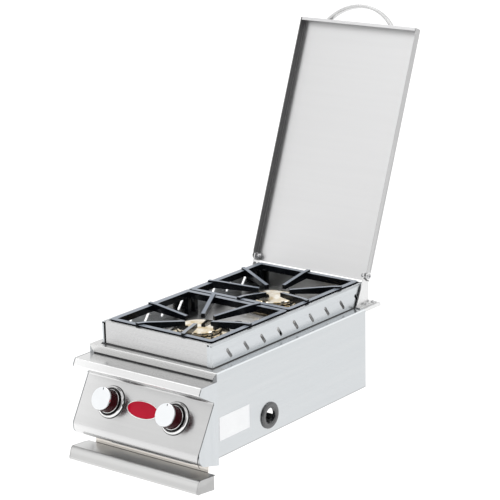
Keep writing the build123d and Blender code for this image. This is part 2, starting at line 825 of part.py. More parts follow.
def pan_form(half_width, y0, y1, z0, z1, radius):
    """Block with its top and front edges rounded, for the outside or the inside of the lid."""
    form = block(-half_width, half_width, y0, y1, z0, z1)
    folds = form.edges().filter_by(Axis.Y).group_by(Axis.Z)[-1]
    folds += form.edges().filter_by(Axis.Z).group_by(Axis.Y)[0]
    folds += form.edges().filter_by(Axis.X).group_by(Axis.Y)[0].sort_by(Axis.Z)[-1:]
    return fillet(folds, radius=radius)


def lid_pan():
    plate_high = plate_low + sheet
    flange_low = plate_high - lid_flange
    tail = pivot_y + lid_tail
    pan = pan_form(lid_half, lid_front, tail, flange_low, plate_high, lid_bend)
    inside = lid_front + sheet, tail + sheet, flange_low - sheet, plate_low
    pan -= pan_form(lid_inner, *inside, lid_bend - sheet)
    heel = [
        (pivot_y - lid_corner, flange_low - sheet), (pivot_y - lid_corner, flange_low),
        (pivot_y + lid_corner / 2, pivot_z - lid_corner / 2), (tail, plate_low),
        (tail + sheet, plate_low), (tail + sheet, flange_low - sheet),
    ]
    pan -= plate_yz(heel, -lid_half - sheet, lid_half + sheet)
    return_half = lid_half - lid_bend
    pan += block(-return_half, return_half, lid_front, lid_front + lid_return, flange_low, flange_low + sheet)
    tail_half = bracket_x - 2 * sheet
    pan += block(-tail_half, tail_half, tail - sheet, tail, plate_high - lid_tail_flange, plate_high)
    for side in (-1, 1):
        pan -= rod(pivot_radius, on_pivot(side * bracket_outer), on_pivot(side * (lid_half + sheet)))
        x = side * handle_x
        pan -= rod(screw_radius, (x, lid_front - sheet, handle_z), (x, lid_front + 2 * sheet, handle_z))
    return pan


handle_radius = (handle_half_span ** 2 + handle_rise ** 2) / (2 * handle_rise)
handle_back = handle_radius - handle_rise
handle_z = pivot_z + lid_rise - lid_flange / 2
handle_x = math.sqrt((handle_radius + handle_thickness / 2) ** 2 - handle_back ** 2)


def lid_handle():
    """Bowed strap that stands out of the lid's front flange."""
    band = Circle(handle_radius + handle_thickness) - Circle(handle_radius)
    middle = lid_front + handle_back
    strap = extrude(Pos(0, middle, handle_z - handle_depth / 2) * band, amount=handle_depth)
    reach = handle_radius + 2 * handle_thickness
    low, high = handle_z - handle_depth, handle_z + handle_depth
    strap -= block(-reach, reach, lid_front, lid_front + 2 * reach, low, high)
    bows = strap.edges().filter_by(GeomType.CIRCLE)
    return fillet(bows, radius=handle_round)


def handle_screw(side):
    x = side * handle_x
    inside = lid_front + sheet
    head = rod(screw_head_radius, (x, inside, handle_z), (x, inside + screw_head_height, handle_z))
    head = fillet(head.edges().sort_by(Axis.Y)[-1], radius=screw_head_height / 2)
    return head + rod(screw_radius, (x, lid_front, handle_z), (x, inside, handle_z))


def hinge_bolt(side):
    head_end = lid_half + pivot_head_height
    head = rod(pivot_head_radius, on_pivot(side * lid_half), on_pivot(side * head_end))
    outer_edge = head.edges().filter_by(GeomType.CIRCLE).sort_by(Axis.X)[-1 if side > 0 else 0]
    head = fillet(outer_edge, radius=pivot_head_height / 2)
    nut_end = bracket_x - pivot_end_play - pivot_nut_height / 2
    return head + rod(pivot_radius, on_pivot(side * nut_end), on_pivot(side * lid_half))


def hinge_spacer(side):
    ends = on_pivot(side * (bracket_outer + pivot_end_play)), on_pivot(side * lid_inner)
    return rod(pivot_head_radius, *ends) - rod(pivot_radius, *ends)


def hinge_nut(side):
    inner = bracket_x - pivot_end_play
    ends = on_pivot(side * inner), on_pivot(side * (inner - pivot_nut_height))
    nut = rod(pivot_nut_radius, *ends)
    dome = nut.edges().filter_by(GeomType.CIRCLE).sort_by(Axis.X)[0 if side > 0 else -1]
    nut = fillet(dome, radius=pivot_nut_round)
    return nut - rod(pivot_radius, ends[0], on_pivot(side * (inner - pivot_nut_height / 2)))


nodes["lid_pan"] = swing_open(lid_pan())
nodes["lid_handle"] = swing_open(lid_handle())
nodes["handle_screws"] = swing_open(handle_screw(-1) + handle_screw(1))
nodes["hinge_bolts"] = swing_open(hinge_bolt(-1) + hinge_bolt(1))
nodes["hinge_spacers"] = swing_open(hinge_spacer(-1) + hinge_spacer(1))
nodes["hinge_nuts"] = swing_open(hinge_nut(-1) + hinge_nut(1))

# Drip tray under the body, and what it runs on
tray_top = min(base, panel_low) - tray_clearance
tray_face = front - tray_front_reach
tray_back = tray_face + sheet + tray_length
tray_half = tray_width / 2
strip_low = tray_top - tray_front_height


def tray_pan():
    floor = tray_top - tray_depth
    start = tray_face + sheet
    rim_half = tray_half + tray_rim
    inside = tray_half - tray_wall
    pan = block(-tray_half, tray_half, start, tray_back, floor, tray_top)
    pan += block(-rim_half, rim_half, start, tray_back, tray_top - tray_wall, tray_top)
    end = tray_back - tray_wall
    return pan - block(-inside, inside, start + tray_wall, end, floor + tray_wall, tray_top)


nodes["tray_pan"] = tray_pan()
strip_half = tray_front_width / 2
nodes["tray_front"] = block(-strip_half, strip_half, tray_face, tray_face + sheet, strip_low, tray_top)

pull_front = tray_face - pull_reach
pull_back_mid = strip_low + sheet
pull_top = pull_back_mid + pull_rise
pull_low = pull_top - pull_height
pull_path = [
    (tray_face, pull_back_mid), (pull_front, pull_top), (pull_front - pull_lean, pull_low),
    (pull_front - pull_lean + pull_foot, pull_low),
]
pull_radii = [pull_round, pull_foot_round]
pull_half = pull_width / 2


def tray_pull():
    lip = folded_strip(pull_path, pull_radii, sheet - pull_half, pull_half - sheet)
    back = tray_face - pull_end_back
    rise = pull_rise * pull_end_back / pull_reach
    path = FilletPolyline((back, pull_back_mid + rise), *pull_path[1:], radius=pull_radii)
    closing = Polyline(pull_path[-1], (back, pull_back_mid - pull_end_drop), (back, pull_back_mid + rise))
    outline = offset(make_face([path, closing]), amount=sheet / 2)
    for x in (-pull_half, pull_half - sheet):
        lip += extrude(Plane.YZ.offset(x) * outline, amount=sheet)
    return lip - block(-pull_half, pull_half, tray_face, tray_face + sheet, strip_low, tray_top)


nodes["tray_pull"] = tray_pull()


def cross_member():
    start = tray_back
    end = start + cross_member_width
    high = floor_level + cross_member_height
    channel = block(-inner_half, inner_half, start, end, floor_level, high)
    return channel - block(-half, half, start + sheet, end - sheet, floor_level + sheet, high + sheet)


nodes["cross_member"] = cross_member()


def tray_runner():
    web = tray_half + tray_rim + runner_gap
    rail = tray_top - tray_wall - runner_play
    start, end = front + sheet, tray_back + cross_member_width
    runner = block(web, web + sheet, start, end, rail - sheet, floor_level)
    runner += block(tray_half + runner_gap, web, start, end, rail - sheet, rail)
    return runner + block(web, web + runner_top, start, end, floor_level - sheet, floor_level)


nodes["tray_runners"] = tray_runner() + mirrored(tray_runner())

# Fittings on the right side panel
def grommet():
    ring = [
        (grommet_bore, -sheet - grommet_back), (grommet_radius - sheet, -sheet - grommet_back),
        (grommet_radius, -sheet), (grommet_neck, -sheet), (grommet_neck, 0), (grommet_radius, 0),
        (grommet_radius - sheet, grommet_front), (grommet_bore + sheet, grommet_front),
        (grommet_bore, grommet_front - sheet),
    ]
    return Pos(half, grommet_y, grommet_z) * Rot(Y=90) * turned(ring)


nodes["gas_line_grommet"] = grommet()
plate_y = front + plate_setback
plate_low_edge = -plate_drop - plate_height / 2
nodes["blank_plate"] = block(half, half + plate_thickness, plate_y, plate_y + plate_width, plate_low_edge,
                             plate_low_edge + plate_height)

os.makedirs("parts", exist_ok=True)
for name, shape in nodes.items():
    export_step(shape, f"parts/{name}.step")
print(len(nodes), "nodes")
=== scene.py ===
import json
import math

import bmesh
import bpy
from mathutils import Matrix, Vector


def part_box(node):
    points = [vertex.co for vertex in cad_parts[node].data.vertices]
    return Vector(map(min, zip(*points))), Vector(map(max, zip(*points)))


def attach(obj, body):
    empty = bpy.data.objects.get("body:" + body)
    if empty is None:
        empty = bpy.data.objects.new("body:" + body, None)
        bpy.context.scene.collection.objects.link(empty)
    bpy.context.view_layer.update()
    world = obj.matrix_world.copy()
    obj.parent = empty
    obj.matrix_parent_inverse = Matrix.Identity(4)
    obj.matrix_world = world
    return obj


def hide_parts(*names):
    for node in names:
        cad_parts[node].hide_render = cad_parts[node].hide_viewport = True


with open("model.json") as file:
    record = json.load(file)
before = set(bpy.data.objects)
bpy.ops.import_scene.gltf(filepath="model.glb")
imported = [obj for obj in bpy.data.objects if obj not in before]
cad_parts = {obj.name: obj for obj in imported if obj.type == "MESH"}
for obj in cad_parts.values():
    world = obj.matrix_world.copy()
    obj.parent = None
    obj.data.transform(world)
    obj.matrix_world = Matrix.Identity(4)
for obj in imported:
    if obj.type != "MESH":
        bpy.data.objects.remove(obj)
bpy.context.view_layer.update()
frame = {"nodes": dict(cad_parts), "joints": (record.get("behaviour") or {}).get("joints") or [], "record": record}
nodes = frame["nodes"]
joints = {joint["name"]: joint for joint in frame["joints"]}
scene = bpy.context.scene
MM = 0.001
SIDES = ("left", "right")
NOISE_LOW, NOISE_HIGH = 0.3, 0.7        # most values of a noise texture lie between these


# Materials
class Look:
    """A principled material whose colour, roughness and bump come from its nodes."""

    def __init__(self, name, **sockets):
        self.material = bpy.data.materials.new(name)
        self.material.use_nodes = True
        self.tree = self.material.node_tree
        self.shader = self.tree.nodes["Principled BSDF"]
        for socket, value in sockets.items():
            self.shader.inputs[socket.replace("_", " ")].default_value = value
        self.coords = self.tree.nodes.new("ShaderNodeTexCoord").outputs["Object"]

    def stretched(self, scale):
        """Coordinates scaled along each axis."""
        node = self.tree.nodes.new("ShaderNodeMapping")
        node.inputs["Scale"].default_value = scale
        self.tree.links.new(self.coords, node.inputs["Vector"])
        return node.outputs["Vector"]

    def tilt(self, degrees):
        """Turn the texture about X, for a sheet that leans back."""
        node = self.tree.nodes.new("ShaderNodeMapping")
        node.inputs["Rotation"].default_value = (math.radians(degrees), 0, 0)
        self.tree.links.new(self.coords, node.inputs["Vector"])
        self.coords = node.outputs["Vector"]

    def noise(self, scale, detail=3.0, vector=None):
        node = self.tree.nodes.new("ShaderNodeTexNoise")
        node.inputs["Scale"].default_value = scale
        node.inputs["Detail"].default_value = detail
        self.tree.links.new(vector or self.coords, node.inputs["Vector"])
        return node.outputs["Fac"]

    def cells(self, scale):
        node = self.tree.nodes.new("ShaderNodeTexVoronoi")
        node.inputs["Scale"].default_value = scale
        self.tree.links.new(self.coords, node.inputs["Vector"])
        return node.outputs["Color"]

    def place(self, axis):
        """Coordinate along one axis, in metres."""
        node = self.tree.nodes.new("ShaderNodeSeparateXYZ")
        self.tree.links.new(self.coords, node.inputs["Vector"])
        return node.outputs[axis.upper()]

    def upward(self):
        """How far the surface faces up."""
        source = self.tree.nodes.new("ShaderNodeTexCoord")
        node = self.tree.nodes.new("ShaderNodeSeparateXYZ")
        self.tree.links.new(source.outputs["Normal"], node.inputs["Vector"])
        return node.outputs["Z"]

    def colour(self, factor, dark, light, low=NOISE_LOW, high=NOISE_HIGH):
        node = self.tree.nodes.new("ShaderNodeValToRGB")
        node.color_ramp.elements[0].position = low
        node.color_ramp.elements[0].color = (*dark, 1)
        node.color_ramp.elements[1].position = high
        node.color_ramp.elements[1].color = (*light, 1)
        self.tree.links.new(factor, node.inputs["Fac"])
        self.tree.links.new(node.outputs["Color"], self.shader.inputs["Base Color"])

    def shade(self, factor, stops):
        """Multiply the colour by painted light and shade: grey levels that stand at given values of the factor."""
        low, high = stops[0][0], stops[-1][0]
        span = self.tree.nodes.new("ShaderNodeMapRange")
        span.inputs["From Min"].default_value = low
        span.inputs["From Max"].default_value = high
        self.tree.links.new(factor, span.inputs["Value"])
        ramp = self.tree.nodes.new("ShaderNodeValToRGB")
        while len(ramp.color_ramp.elements) < len(stops):
            ramp.color_ramp.elements.new(1.0)
        for element, (at, grey) in zip(ramp.color_ramp.elements, stops):
            element.position = (at - low) / (high - low)
            element.color = (grey, grey, grey, 1)
        self.tree.links.new(span.outputs["Result"], ramp.inputs["Fac"])
        blend = self.tree.nodes.new("ShaderNodeMix")
        blend.data_type = "RGBA"
        blend.blend_type = "MULTIPLY"
        blend.inputs["Factor"].default_value = 1.0
        base = self.shader.inputs["Base Color"]
        self.tree.links.new(base.links[0].from_socket, blend.inputs[6])
        self.tree.links.new(ramp.outputs["Color"], blend.inputs[7])
        self.tree.links.new(blend.outputs[2], base)

    def roughness(self, factor, low, high):
        node = self.tree.nodes.new("ShaderNodeMapRange")
        node.inputs["From Min"].default_value = NOISE_LOW
        node.inputs["From Max"].default_value = NOISE_HIGH
        node.inputs["To Min"].default_value = low
        node.inputs["To Max"].default_value = high
        self.tree.links.new(factor, node.inputs["Value"])
        self.tree.links.new(node.outputs["Result"], self.shader.inputs["Roughness"])

    def drawn(self, axis):
        """Spread reflections across the brush lines that run along the axis."""
        node = self.tree.nodes.new("ShaderNodeTangent")
        node.direction_type = "RADIAL"
        node.axis = axis.upper()
        self.tree.links.new(node.outputs["Tangent"], self.shader.inputs["Tangent"])

    def bump(self, factor, strength, depth):
        node = self.tree.nodes.new("ShaderNodeBump")
        node.inputs["Strength"].default_value = strength
        node.inputs["Distance"].default_value = depth
        self.tree.links.new(factor, node.inputs["Height"])
        self.tree.links.new(node.outputs["Normal"], self.shader.inputs["Normal"])


LINES_ALONG, LINES_ACROSS = 14, 900     # brush lines, in noise cells per metre
TONE_ALONG, TONE_ACROSS = 2, 70         # broad change of tone


def brushed_steel(name, grain, tones, finish, lean=0, shades=()):
    """Stainless sheet with its brush lines along one axis, and painted light and shade that change with place."""
    look = Look(name, Metallic=1.0, Anisotropic=0.7)
    look.drawn(grain)
    look.tilt(lean)
    fine = look.stretched([LINES_ALONG if axis == grain else LINES_ACROSS for axis in "xyz"])
    broad = look.stretched([TONE_ALONG if axis == grain else TONE_ACROSS for axis in "xyz"])
    lines = look.noise(1.0, 2.0, fine)
    look.colour(look.noise(1.0, 3.0, broad), *tones)
    for axis, stops in shades:
        look.shade(look.upward() if axis == "up" else look.place(axis), stops)
    look.roughness(lines, *finish)
    look.bump(lines, 0.12, 0.04 * MM)
    return look.material


def polished(name, dark, light, smooth, rough):
    look = Look(name, Metallic=1.0)
    look.colour(look.noise(60), dark, light)
    look.roughness(look.noise(240), smooth, rough)
    look.bump(look.noise(500), 0.03, 0.03 * MM)
    return look.material


def moulded(name, dark, light, smooth, rough, grain, depth, **sockets):
    look = Look(name, **sockets)
    look.colour(look.noise(35), dark, light)
    look.roughness(look.noise(160), smooth, rough)
    look.bump(look.noise(grain, 4.0), 0.25, depth * MM)
    return look.material


def cast_iron():
    """Black enamel, with a painted highlight that makes its level tops lighter."""
    look = Look("enamelled_iron", IOR=1.25, Specular_Tint=(0.85, 0.93, 1.0, 1.0))
    look.colour(look.upward(), (0.003, 0.0035, 0.005), (0.235, 0.262, 0.305), 0.74, 0.93)
    look.roughness(look.noise(160), 0.12, 0.2)
    look.bump(look.noise(420, 4.0), 0.25, 0.1 * MM)
    return look.material


def galvanised():
    look = Look("galvanised_sheet", Metallic=0.9)
    spangle = look.cells(140)
    look.colour(spangle, (0.34, 0.35, 0.36), (0.52, 0.53, 0.54), 0.0, 1.0)
    look.roughness(spangle, 0.38, 0.5)
    look.bump(look.noise(400), 0.08, 0.05 * MM)
    return look.material


def margins(half, plain, left, right, blend):
    """Stops across a centred span: full tone over its plain middle, and a painted shade at either end."""
    return ((-half, left), (-plain - blend, left), (-plain, 1.0), (plain, 1.0), (plain + blend, right),
            (half, right))


# Darker and lighter tone of each sheet, and its least and most roughness. The tones are one stainless steel made
# lighter or darker sheet by sheet as painted light and shade, and the blue tint of SIDE and EDGE is a painted
# reflection of cool light.
STEEL = ((0.70, 0.70, 0.70), (0.745, 0.745, 0.745))
SHADED_FLANGE = ((0.66, 0.66, 0.655), (0.71, 0.71, 0.705))
WALL = ((0.565, 0.565, 0.567), (0.605, 0.605, 0.607))
LIT_PANEL = ((0.95, 0.95, 0.95), (0.99, 0.99, 0.99))
EDGE = ((0.91, 0.945, 0.97), (0.95, 0.98, 1.0))
SIDE = ((0.565, 0.588, 0.605), (0.600, 0.622, 0.640))
PULL = ((0.65, 0.65, 0.645), (0.69, 0.69, 0.685))
TRAY = ((0.70, 0.66, 0.61), (0.75, 0.71, 0.66))
LID = ((0.72, 0.72, 0.723), (0.735, 0.735, 0.738))
DECK = ((0.84, 0.84, 0.84), (0.89, 0.89, 0.89))
SMOOTH = (0.2, 0.28)
SATIN = (0.22, 0.3)
DULLED = (0.3, 0.38)
steel_x = brushed_steel("stainless_across", "x", STEEL, SMOOTH)
steel_flange = brushed_steel("stainless_flange", "x", SHADED_FLANGE, SATIN)
steel_wall = brushed_steel("stainless_wall", "x", WALL, SATIN)
steel_strip = brushed_steel("stainless_strip", "x", TRAY, (0.1, 0.14))
steel_y = brushed_steel("stainless_along", "y", SIDE, SMOOTH)
steel_z = brushed_steel("stainless_up", "z", SIDE, SMOOTH)

# Control panel: painted light and shade: its lip is painted brighter than the face below and the ledge above, and
# the face is painted darker towards its right end
FACE_SHADE, LEDGE_SHADE = 0.79, 0.78
ledge_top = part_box("control_panel")[1].z
panel_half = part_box("control_panel")[1].x
lip_low = ledge_top - 17 * MM
lip_shades = ((lip_low - 8 * MM, FACE_SHADE), (lip_low - 1 * MM, FACE_SHADE), (lip_low, 1.0),
              (ledge_top - 1 * MM, 1.0), (ledge_top - 0.2 * MM, LEDGE_SHADE), (ledge_top + 1 * MM, LEDGE_SHADE))
end_shades = ((-panel_half, 1.0), (-0.4 * panel_half, 0.85), (panel_half, 0.81))
steel_panel = brushed_steel("stainless_panel", "x", LIT_PANEL, (0.18, 0.25),
                            shades=(("z", lip_shades), ("x", end_shades)))

# Tray pull: painted shade on its end plates, its rolled edge and its lower front
PULL_END_SHADE, PULL_FOOT_SHADE = 0.7, 0.91
pull_low, pull_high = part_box("tray_pull")
pull_ends = margins(pull_high.x, pull_high.x - 3 * MM, PULL_END_SHADE, PULL_END_SHADE, 1 * MM)
pull_roll = ((-1.0, 1.0), (0.36, 1.0), (0.6, 0.86), (0.85, 0.56), (0.982, 0.5), (0.991, 1.0), (1.0, 1.0))
pull_climb = ((pull_low.z, PULL_FOOT_SHADE), (pull_high.z - 15 * MM, PULL_FOOT_SHADE),
              (pull_high.z - 10 * MM, 1.0), (pull_high.z, 1.0))
steel_pull = brushed_steel("stainless_pull", "x", PULL, (0.28, 0.34),
                           shades=(("x", pull_ends), ("up", pull_roll), ("z", pull_climb)))

# Rear wall: painted shade on its inside
INSIDE_SHADE = 0.46
rear_low, rear_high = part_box("surround_rear")
rear_inside_shade = ((rear_low.y, INSIDE_SHADE), (rear_low.y + 0.4 * MM, INSIDE_SHADE), (rear_low.y + 0.7 * MM, 1.0),
               (rear_high.y, 1.0))
steel_rear = brushed_steel("stainless_rear", "x", STEEL, DULLED, shades=(("y", rear_inside_shade),))

# Burner deck: painted shade along both sides, under the grates' rails
DECK_SHADE = 0.42
deck_shade_margins = margins(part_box("burner_deck")[1].x, 98 * MM, DECK_SHADE, DECK_SHADE, 10 * MM)
steel_deck = brushed_steel("stainless_deck", "x", DECK, DULLED, shades=(("x", deck_shade_margins),))

# Side panels: a painted shadow along the base fold, a painted highlight on the bend below the flange, and painted
# shade over the flat sheet and the flange
BASE_SHADOW, PLAIN_SHADE, BEND_HIGHLIGHT, SIDE_FLANGE_SHADE = 0.2, 0.62, 0.9, 0.66
side_low, side_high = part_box("right_side_panel")
side_shades = ((side_low.z, BASE_SHADOW), (side_low.z + 2 * MM, BASE_SHADOW), (side_low.z + 3 * MM, PLAIN_SHADE),
               (side_high.z - 3.2 * MM, PLAIN_SHADE), (side_high.z - 2.6 * MM, BEND_HIGHLIGHT),
               (side_high.z - 0.3 * MM, BEND_HIGHLIGHT), (side_high.z - 0.1 * MM, SIDE_FLANGE_SHADE),
               (side_high.z + 1 * MM, SIDE_FLANGE_SHADE))
steel_side = brushed_steel("stainless_side", "y", EDGE, SMOOTH, shades=(("z", side_shades),))

# Lid: a painted dark reflection and shade on the folds at both sides, and painted shade that grows towards the top
recorded = {joint["name"]: joint for joint in frame["record"]["behaviour"]["joints"]}
lid_lean = recorded["lid_hinge"]["range_deg"][1] - 90
lid_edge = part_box("lid_pan")[1].x
lid_fold = margins(lid_edge, lid_edge - 4 * MM, 0.34, 0.8, 1 * MM)
lid_climb = ((0.05, 1.0), (0.35, 0.94), (0.85, 0.84))
steel_lid = brushed_steel("stainless_lid", "x", LID, (0.35, 0.39), lid_lean,
                          shades=(("x", lid_fold), ("z", lid_climb)))

disc_steel = polished("bright_disc", (0.92, 0.94, 0.96), (0.95, 0.97, 0.99), 0.08, 0.14)
handle_steel = polished("handle_steel", (0.58, 0.58, 0.58), (0.63, 0.63, 0.63), 0.24, 0.32)
chrome = polished("polished_steel", (0.78, 0.78, 0.78), (0.84, 0.84, 0.84), 0.06, 0.11)
bolt_steel = polished("bolt_steel", (0.46, 0.46, 0.47), (0.60, 0.60, 0.61), 0.2, 0.32)
brass = polished("burner_brass", (0.58, 0.42, 0.18), (0.97, 0.94, 0.86), 0.05, 0.1)
zinc = galvanised()
alloy = moulded("cast_alloy", (0.42, 0.42, 0.43), (0.5, 0.5, 0.51), 0.45, 0.6, 700, 0.2, Metallic=1.0)
iron = cast_iron()
maroon = moulded("maroon_gloss", (0.030, 0.002, 0.004), (0.040, 0.003, 0.005), 0.14, 0.22, 300, 0.03,
                 Specular_IOR_Level=0.08)
enamel = moulded("red_enamel", (0.48, 0.004, 0.026), (0.52, 0.006, 0.032), 0.14, 0.2, 260, 0.03,
                 Specular_IOR_Level=0.15)
sleeve = moulded("grommet_rubber", (0.020, 0.021, 0.024), (0.030, 0.031, 0.035), 0.2, 0.3, 600, 0.06,
                 IOR=1.95)
rubber = moulded("black_rubber", (0.012, 0.012, 0.013), (0.02, 0.02, 0.021), 0.5, 0.65, 600, 0.1)
black = moulded("black_plastic", (0.008, 0.008, 0.008), (0.014, 0.014, 0.014), 0.4, 0.5, 500, 0.08)
white = moulded("white_label_film", (0.91, 0.92, 0.93), (0.94, 0.95, 0.96), 0.35, 0.45, 300, 0.02)
ceramic = moulded("white_ceramic", (0.74, 0.73, 0.69), (0.8, 0.79, 0.76), 0.2, 0.3, 400, 0.05)


# CAD nodes that keep their shape: a material, and softened edges
def dress(material, edge, *names):
    """Give CAD nodes a material, and an edge rounding in millimetres."""
    for name in names:
        obj = nodes[name]
        obj.data.materials.clear()
        obj.data.materials.append(material)
        weld = obj.modifiers.new("weld", "WELD")
        weld.merge_threshold = 0.01 * MM
        bevel = obj.modifiers.new("edge", "BEVEL")
        bevel.width = edge * MM
        bevel.segments = 2
        bevel.limit_method = "ANGLE"
        bevel.angle_limit = math.radians(32)
        normals = obj.modifiers.new("normals", "WEIGHTED_NORMAL")
        normals.keep_sharp = True
        obj.data.polygons.foreach_set("use_smooth", [True] * len(obj.data.polygons))


SHEET_EDGE = 0.35
dress(steel_x, SHEET_EDGE, "rear_panel", "rear_shelf", "hinge_bracket_left", "hinge_bracket_right")
dress(steel_rear, SHEET_EDGE, "surround_rear")
dress(steel_deck, SHEET_EDGE, "burner_deck")
dress(steel_panel, SHEET_EDGE, "control_panel")
dress(steel_flange, SHEET_EDGE, "front_flange")
dress(steel_wall, SHEET_EDGE, "surround_front")
dress(steel_pull, SHEET_EDGE, "tray_pull")
dress(steel_y, SHEET_EDGE, "surround_side_left", "surround_side_right")
dress(steel_side, SHEET_EDGE, "left_side_panel", "right_side_panel")
dress(steel_lid, SHEET_EDGE, "lid_pan")
dress(steel_z, SHEET_EDGE, "panel_end_left", "panel_end_right")
dress(handle_steel, 0.3, "lid_handle")
dress(iron, 1.0, "front_grate", "rear_grate")
dress(brass, 0.7, "front_burner_ring", "rear_burner_ring", "front_burner_cap", "rear_burner_cap")
dress(brass, 0.3, "valve_left", "valve_right", "orifices", "gas_inlet")
dress(alloy, 0.6, "front_burner_body", "rear_burner_body")
dress(zinc, 0.3, "front_bulkhead", "cross_member", "tray_pan", "tray_runners", "manifold_pipe",
      "manifold_brackets")
dress(bolt_steel, 0.2, "handle_screws", "hinge_spacers", "push_washer_left", "push_washer_right",
      "valve_stem_left", "valve_stem_right")
dress(black, 0.4, "igniters")
dress(rubber, 0.1, "igniter_leads")
dress(ceramic, 0.3, "electrodes")
dress(white, 0.1, "blank_plate")


# Mesh helpers for the pieces that stand for CAD nodes. Profiles and sections are in millimetres.
def round_corners(points, radii, steps=5):
    """Outline with each corner rounded by its own radius."""
    out = []
    last = len(points) - 1
    for i, (point, radius) in enumerate(zip(points, radii)):
        here = Vector(point)
        if radius == 0 or i in (0, last):
            out.append(here)
            continue
        before, after = Vector(points[i - 1]) - here, Vector(points[i + 1]) - here
        angle = before.angle(after)
        reach = min(radius / math.tan(angle / 2), before.length * 0.49, after.length * 0.49)
        start = here + before.normalized() * reach
        end = here + after.normalized() * reach
        for k in range(steps + 1):
            t = k / steps
            out.append(start.lerp(here, t).lerp(here.lerp(end, t), t))
    return out


def ring_profile(points, radii):
    """Closed outline with its corners rounded, for a ring."""
    wrapped = [points[-1], *points, points[0]]
    return round_corners(wrapped, [0, *radii, 0])[1:-1]


def oval(half_width, half_height, level, segments=96):
    """Row of points round local Z."""
    turns = [2 * math.pi * i / segments for i in range(segments)]
    return [(half_width * MM * math.cos(turn), half_height * MM * math.sin(turn), level * MM)
            for turn in turns]


def skin(rows, looped=False, capped=False):
    """Mesh over rows of points, looped back to the first row or with both ends closed."""
    bm = bmesh.new()
    rings = [[bm.verts.new(spot) for spot in row] for row in rows]
    pairs = list(zip(rings, rings[1:]))
    if looped:
        pairs.append((rings[-1], rings[0]))
    for low, high in pairs:
        for i, vert in enumerate(low):
            j = (i + 1) % len(low)
            bm.faces.new((vert, low[j], high[j], high[i]))
    if capped:
        bm.faces.new(rings[-1])
        bm.faces.new(list(reversed(rings[0])))
    return bm


def lathe(profile, segments=96, looped=False):
    """Mesh turned about local Z from radius and height."""
    return skin([oval(radius, radius, height, segments) for radius, height in profile], looped)


def frame_of(origin, axis):
    """Rotation and place of a local frame whose Z runs along the axis."""
    turn = Vector(axis).to_track_quat("Z", "Y").to_matrix().to_4x4()
    return Matrix.Translation(origin) @ turn


def piece(name, bm, material, body, place=None, smooth=40):
    """Object from a mesh, put in its place and riding on a body."""
    bmesh.ops.remove_doubles(bm, verts=bm.verts, dist=1e-7)
    bmesh.ops.recalc_face_normals(bm, faces=bm.faces)
    mesh = bpy.data.meshes.new(name)
    bm.to_mesh(mesh)
    bm.free()
    if place is not None:
        mesh.transform(place)
    mesh.polygons.foreach_set("use_smooth", [True] * len(mesh.polygons))
    mesh.set_sharp_from_angle(angle=math.radians(smooth))
    mesh.materials.append(material)
    obj = bpy.data.objects.new(name, mesh)
    scene.collection.objects.link(obj)
    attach(obj, body)
    return obj


# Knobs: pushed and turned, with the pointer mark upwards when off
def knob_frame(side):
    """Local frame on the panel's face, with Z along the knob's axis and Y up the face."""
    joint = joints[f"knob_turn_{side}"]
    normal = Vector(joint["axis"]).normalized()
    up = Vector((0, normal.z, -normal.y))
    across = up.cross(normal)
    turn = Matrix((across, up, normal)).transposed().to_4x4()
    return Matrix.Translation(joint["pos_m"]) @ turn


def radius_of(node):
    low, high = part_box(node)
    return (high.x - low.x) / 2 / MM


def capsule(length, width, height, steps=10):
    """Bar with round ends and a softened top, lying along local Y."""
    rows = []
    for inset, level in ((0, 0), (0, height * 0.6), (width * 0.08, height * 0.9), (width * 0.2, height)):
        radius = width / 2 - inset
        row = []
        for end, start in ((1, 0), (-1, math.pi)):
            for k in range(steps + 1):
                angle = start + math.pi * k / steps
                y = end * (length - width) / 2 + radius * math.sin(angle)
                row.append((radius * math.cos(angle) * MM, y * MM, level * MM))
        rows.append(row)
    return skin(rows, capped=True)


CLEAR = 0.02                            # a piece's foot above the sheet that carries it
skirt_radius = radius_of("knob_skirt_left")
skirt_low, skirt_high = 6.7, 10.6
shoulder = 12.5                         # where the skirt has narrowed to the grip
stem_bore = 4.1
knob_height = 33.0
grip_top = knob_height - 0.1
trim_inner = skirt_radius - 1
disc_radius = radius_of("knob_face_left")
disc_front = knob_height + 4.5
grip_radius = disc_radius + 0.4
ring_radius = radius_of("knob_bezel_left")
ring_bead = ring_radius - 5.6
ring_wall = ring_radius - 1.2
gasket_bore, gasket_top = 6.2, 1.4
grip_profile = ring_profile(
    [(stem_bore, skirt_low), (trim_inner, skirt_low), (trim_inner, skirt_high), (grip_radius, shoulder),
     (grip_radius, knob_height - 2.4), (grip_radius - 0.8, grip_top), (stem_bore, grip_top)],
    [0.1, 0.4, 0.3, 1.0, 1.5, 0.6, 0.1])
trim_profile = ring_profile(
    [(trim_inner, 6.0), (skirt_radius, 6.0), (skirt_radius, 9.4), (trim_inner, 10.2)],
    [0.2, 0.5, 0.5, 0.2])
disc_profile = round_corners(
    [(0, knob_height), (disc_radius, knob_height), (disc_radius, disc_front - 0.2),
     (disc_radius - 2.2, disc_front), (0, disc_front + 0.2)],
    [0, 0.5, 1.4, 0.6, 0])
bezel_profile = ring_profile(
    [(ring_bead, gasket_top), (ring_wall, gasket_top), (ring_wall, 3.0), (ring_wall - 1.4, 5.2),
     (ring_wall - 3.2, 6.6), (ring_bead, 6.0)],
    [0.2, 0.3, 0.8, 0.8, 0.8, 0.5])
gasket_profile = ring_profile(
    [(gasket_bore, CLEAR), (ring_radius, CLEAR), (ring_radius, gasket_top), (gasket_bore, gasket_top)],
    [0.1, 0.1, 0.5, 0.3])
mark_length, mark_width, mark_height = 5.0, 1.7, 0.45
mark_place = Matrix.Translation((0, (disc_radius - 3.5) * MM, (disc_front - 0.2) * MM))
